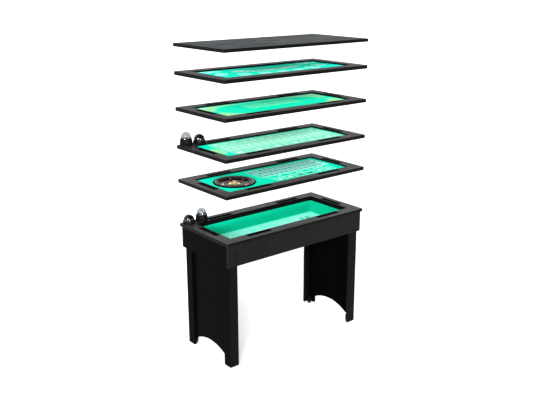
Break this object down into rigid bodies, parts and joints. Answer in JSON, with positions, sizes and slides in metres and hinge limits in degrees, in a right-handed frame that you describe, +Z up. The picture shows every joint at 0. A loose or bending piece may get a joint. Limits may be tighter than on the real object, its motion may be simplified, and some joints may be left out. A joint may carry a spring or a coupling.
{
  "type": "multi-game casino table",
  "caption": "Free-standing casino game table: a felt-lined craps well on legs, with lift-off roulette, sic bo, poker and blackjack tops, dice poppers and a cover board.",
  "frame": {"origin": "on the floor under the middle of the table, at the bottom centre of the bounding box", "axes": "+X along the table to its right end, +Y to its back, +Z up"},
  "size_m": [1.22, 0.56, 2.13],
  "materials": {
    "laminate_black": "satin",
    "board_raw": "matte",
    "pine": "matte",
    "felt_wall": "matte",
    "felt_floor": "matte",
    "felt_top": "matte",
    "bolt_black": "satin",
    "screw_zinc": "satin",
    "brass": "polished",
    "foot_plastic": "matte",
    "plastic_black": "gloss",
    "rotor_dark": "gloss",
    "spring_steel": "satin",
    "dice_white": "gloss",
    "dome_clear": "gloss",
    "dome_smoked": "gloss"
  },
  "bodies": {
    "root": {"rim": "laminate_black", "apron_front": "laminate_black", "apron_back": "laminate_black", "apron_left": "laminate_black", "apron_right": "laminate_black", "well_wall_front": "laminate_black", "well_wall_back": "laminate_black", "well_wall_left": "laminate_black", "well_wall_right": "laminate_black", "well_floor": "board_raw", "wall_felt": "felt_wall", "floor_felt": "felt_floor", "pine_strips": "pine", "corner_blocks": "pine", "foot_blocks": "laminate_black", "foot_inserts": "brass", "leg_front_left_face": "laminate_black", "leg_front_left_side": "laminate_black", "leg_front_right_face": "laminate_black", "leg_front_right_side": "laminate_black", "leg_back_left_face": "laminate_black", "leg_back_left_side": "laminate_black", "leg_back_right_face": "laminate_black", "leg_back_right_side": "laminate_black", "end_panel_left": "laminate_black", "end_panel_right": "laminate_black", "leg_bolts": "bolt_black", "panel_screws": "screw_zinc"},
    "roulette_top": {"roulette_frame": "laminate_black", "roulette_panel": "board_raw", "roulette_felt": "felt_top", "wheel_bowl": "plastic_black", "wheel_spindle": "screw_zinc"},
    "roulette_wheel": {"wheel_bush": "brass", "wheel_rotor": "rotor_dark", "wheel_turret": "brass"},
    "sicbo_top": {"sicbo_frame": "laminate_black", "sicbo_panel": "board_raw", "sicbo_felt": "felt_top"},
    "poker_top": {"poker_frame": "laminate_black", "poker_panel": "board_raw", "poker_felt": "felt_top"},
    "blackjack_top": {"blackjack_frame": "laminate_black", "blackjack_panel": "board_raw", "blackjack_felt": "felt_top"},
    "cover": {"cover_board": "laminate_black"},
    "rim_poppers": {"rim_popper_bases": "plastic_black", "rim_popper_discs": "spring_steel", "rim_popper_dice": "dice_white"},
    "dome_rim_smoked": {"rim_smoked_dome": "dome_smoked"},
    "dome_rim_clear": {"rim_clear_dome": "dome_clear"},
    "sicbo_poppers": {"sicbo_popper_bases": "plastic_black", "sicbo_popper_discs": "spring_steel", "sicbo_popper_dice": "dice_white"},
    "dome_sicbo_clear": {"sicbo_clear_dome": "dome_clear"},
    "dome_sicbo_smoked": {"sicbo_smoked_dome": "dome_smoked"},
    "level_front_left": {"foot_front_left": "foot_plastic"},
    "level_front_right": {"foot_front_right": "foot_plastic"},
    "level_back_left": {"foot_back_left": "foot_plastic"},
    "level_back_right": {"foot_back_right": "foot_plastic"}
  },
  "joints": [
    {"name": "roulette_top_lift", "type": "slide", "parent": "root", "child": "roulette_top", "axis": [0, 0, 1], "range_m": [-0.2898, 0]},
    {"name": "sicbo_top_lift", "type": "slide", "parent": "roulette_top", "child": "sicbo_top", "axis": [0, 0, 1], "range_m": [-0.2098, 0]},
    {"name": "poker_top_lift", "type": "slide", "parent": "sicbo_top", "child": "poker_top", "axis": [0, 0, 1], "range_m": [-0.2298, 0]},
    {"name": "blackjack_top_lift", "type": "slide", "parent": "poker_top", "child": "blackjack_top", "axis": [0, 0, 1], "range_m": [-0.2098, 0]},
    {"name": "cover_lift", "type": "slide", "parent": "blackjack_top", "child": "cover", "axis": [0, 0, 1], "range_m": [-0.1578, 0]},
    {"name": "wheel_spin", "type": "hinge", "parent": "roulette_top", "child": "roulette_wheel", "pos_m": [-0.342, 0, 1.2], "axis": [0, 0, 1], "continuous": true},
    {"name": "rim_poppers_aside", "type": "slide", "parent": "root", "child": "rim_poppers", "axis": [0, 1, 0], "range_m": [0, 0.152]},
    {"name": "sicbo_poppers_aside", "type": "slide", "parent": "sicbo_top", "child": "sicbo_poppers", "axis": [0, 1, 0], "range_m": [0, 0.264]},
    {"name": "press_rim_smoked", "type": "slide", "parent": "rim_poppers", "child": "dome_rim_smoked", "axis": [0, 0, 1], "range_m": [-0.003, 0], "stiffness_N_per_m": 1500, "springref_m": 0.001},
    {"name": "press_rim_clear", "type": "slide", "parent": "rim_poppers", "child": "dome_rim_clear", "axis": [0, 0, 1], "range_m": [-0.003, 0], "stiffness_N_per_m": 1500, "springref_m": 0.001},
    {"name": "press_sicbo_clear", "type": "slide", "parent": "sicbo_poppers", "child": "dome_sicbo_clear", "axis": [0, 0, 1], "range_m": [-0.003, 0], "stiffness_N_per_m": 1500, "springref_m": 0.001},
    {"name": "press_sicbo_smoked", "type": "slide", "parent": "sicbo_poppers", "child": "dome_sicbo_smoked", "axis": [0, 0, 1], "range_m": [-0.003, 0], "stiffness_N_per_m": 1500, "springref_m": 0.001},
    {"name": "level_front_left", "type": "slide", "parent": "root", "child": "level_front_left", "axis": [0, 0, -1], "range_m": [0, 0.012]},
    {"name": "level_front_right", "type": "slide", "parent": "root", "child": "level_front_right", "axis": [0, 0, -1], "range_m": [0, 0.012]},
    {"name": "level_back_left", "type": "slide", "parent": "root", "child": "level_back_left", "axis": [0, 0, -1], "range_m": [0, 0.012]},
    {"name": "level_back_right", "type": "slide", "parent": "root", "child": "level_back_right", "axis": [0, 0, -1], "range_m": [0, 0.012]}
  ],
  "couplings": [
    {"joint": "rim_poppers_aside", "follows": "roulette_top_lift", "ratio": -0.52},
    {"joint": "sicbo_poppers_aside", "follows": "poker_top_lift", "ratio": -1.14}
  ]
}
